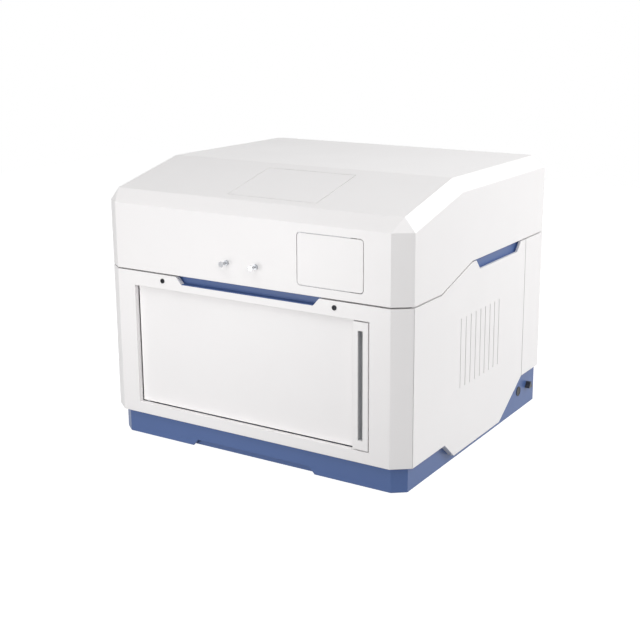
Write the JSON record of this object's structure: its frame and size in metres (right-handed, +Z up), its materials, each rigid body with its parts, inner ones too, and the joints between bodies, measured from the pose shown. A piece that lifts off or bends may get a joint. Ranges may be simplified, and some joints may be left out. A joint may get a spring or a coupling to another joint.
{
  "type": "spectrometer",
  "caption": "Bench spectrometer: faceted white hood hinged over an optical deck, front door to a sample chamber, blue base, pull rods, hatches and rear cooling fan.",
  "frame": {"origin": "centre of the footprint on the bench, under the feet", "axes": "+X to the instrument's right along its front, +Y from the front to the rear, +Z up"},
  "size_m": [0.6, 0.5648, 0.4815],
  "materials": {
    "white_paint": "smooth satin powder coat",
    "blue_paint": "satin powder coat",
    "rubber": "matte",
    "steel": "zinc plated",
    "black_paint": "matte black",
    "aluminium": "milled",
    "glass": "polished",
    "mirror": "polished",
    "chrome": "polished",
    "grey_plastic": "fine grain",
    "black_plastic": "fine grain",
    "board_green": "lacquered"
  },
  "bodies": {
    "cabinet": {"base_skirt": "blue_paint", "base_floor": "blue_paint", "carry_rail": "blue_paint", "rubber_feet": "rubber", "body_frame": "steel", "front_frame": "white_paint", "fascia_screws": "black_paint", "side_panel_right": "white_paint", "side_panel_left": "white_paint", "rear_shell": "white_paint", "light_trap": "black_paint", "grip_liners": "blue_paint", "hood_hinge_leaves": "steel", "door_brackets": "steel", "sample_chamber": "black_paint", "chamber_supports": "steel", "stage_base": "aluminium", "light_tube": "black_paint", "optical_deck": "aluminium", "isolators": "rubber", "lamp_housing": "black_paint", "fold_mount": "black_paint", "fold_mirror": "mirror", "entrance_slit": "black_paint", "mirror_mounts": "black_paint", "curved_mirrors": "mirror", "turret_base": "aluminium", "detector": "black_paint", "control_board": "board_green", "board_standoffs": "steel", "power_supply": "steel", "power_inlet": "black_plastic", "fan_frame": "black_plastic", "fan_guard": "black_paint", "button_bezel": "black_plastic", "switch_body": "black_plastic"},
    "lid": {"hood": "white_paint", "hood_hinge_straps": "steel", "hatch_frames": "steel", "rod_bushes": "steel"},
    "top_lid": {"top_hatch": "white_paint"},
    "front_lid": {"front_hatch": "white_paint"},
    "left_rod": {"left_pull_rod": "chrome", "left_filter_carrier": "black_paint", "left_filter": "glass"},
    "right_rod": {"right_pull_rod": "chrome", "right_filter_carrier": "black_paint", "right_filter": "glass"},
    "door": {"door_panel": "white_paint", "door_stile": "white_paint", "finger_pull": "grey_plastic", "door_inner_skin": "black_paint", "door_seal": "rubber"},
    "stage": {"stage_carriage": "aluminium", "sample_platform": "black_paint"},
    "turret": {"grating_turret": "black_paint", "grating": "mirror"},
    "fan": {"fan_rotor": "black_plastic"},
    "button": {"power_button": "black_plastic"},
    "switch": {"switch_knob": "grey_plastic"}
  },
  "joints": [
    {"name": "hood_hinge", "type": "hinge", "parent": "cabinet", "child": "lid", "pos_m": [0, 0.2784, 0.3383], "axis": [-1, 0, 0], "range_deg": [0, 65]},
    {"name": "top_hatch_hinge", "type": "hinge", "parent": "lid", "child": "top_lid", "pos_m": [0.0282, -0.11962, 0.46835], "axis": [-1, 0, 0], "range_deg": [0, 90]},
    {"name": "front_hatch_hinge", "type": "hinge", "parent": "lid", "child": "front_lid", "pos_m": [0.211, -0.2621, 0.36385], "axis": [0, 0, 1], "range_deg": [0, 95]},
    {"name": "left_rod_slide", "type": "slide", "parent": "lid", "child": "left_rod", "axis": [0, -1, 0], "range_m": [0, 0.04]},
    {"name": "right_rod_slide", "type": "slide", "parent": "lid", "child": "right_rod", "axis": [0, -1, 0], "range_m": [0, 0.04]},
    {"name": "door_hinge", "type": "hinge", "parent": "cabinet", "child": "door", "pos_m": [-0.225, -0.2529, 0.17275], "axis": [0, 0, -1], "range_deg": [0, 95]},
    {"name": "stage_slide", "type": "slide", "parent": "cabinet", "child": "stage", "axis": [1, 0, 0], "range_m": [-0.09, 0.09]},
    {"name": "turret_hinge", "type": "hinge", "parent": "cabinet", "child": "turret", "pos_m": [-0.01, -0.0269, 0.335], "axis": [0, 0, 1], "range_deg": [-30, 30]},
    {"name": "fan_spin", "type": "hinge", "parent": "cabinet", "child": "fan", "pos_m": [-0.15, 0.2591, 0.2], "axis": [0, 1, 0], "continuous": true},
    {"name": "button_press", "type": "slide", "parent": "cabinet", "child": "button", "axis": [-1, 0, 0], "range_m": [0, 0.0022], "stiffness_N_per_m": 600, "springref_m": -0.002},
    {"name": "switch_turn", "type": "hinge", "parent": "cabinet", "child": "switch", "pos_m": [0.2887, 0.2391, 0.0424], "axis": [1, 0, 0], "range_deg": [0, 90]}
  ]
}
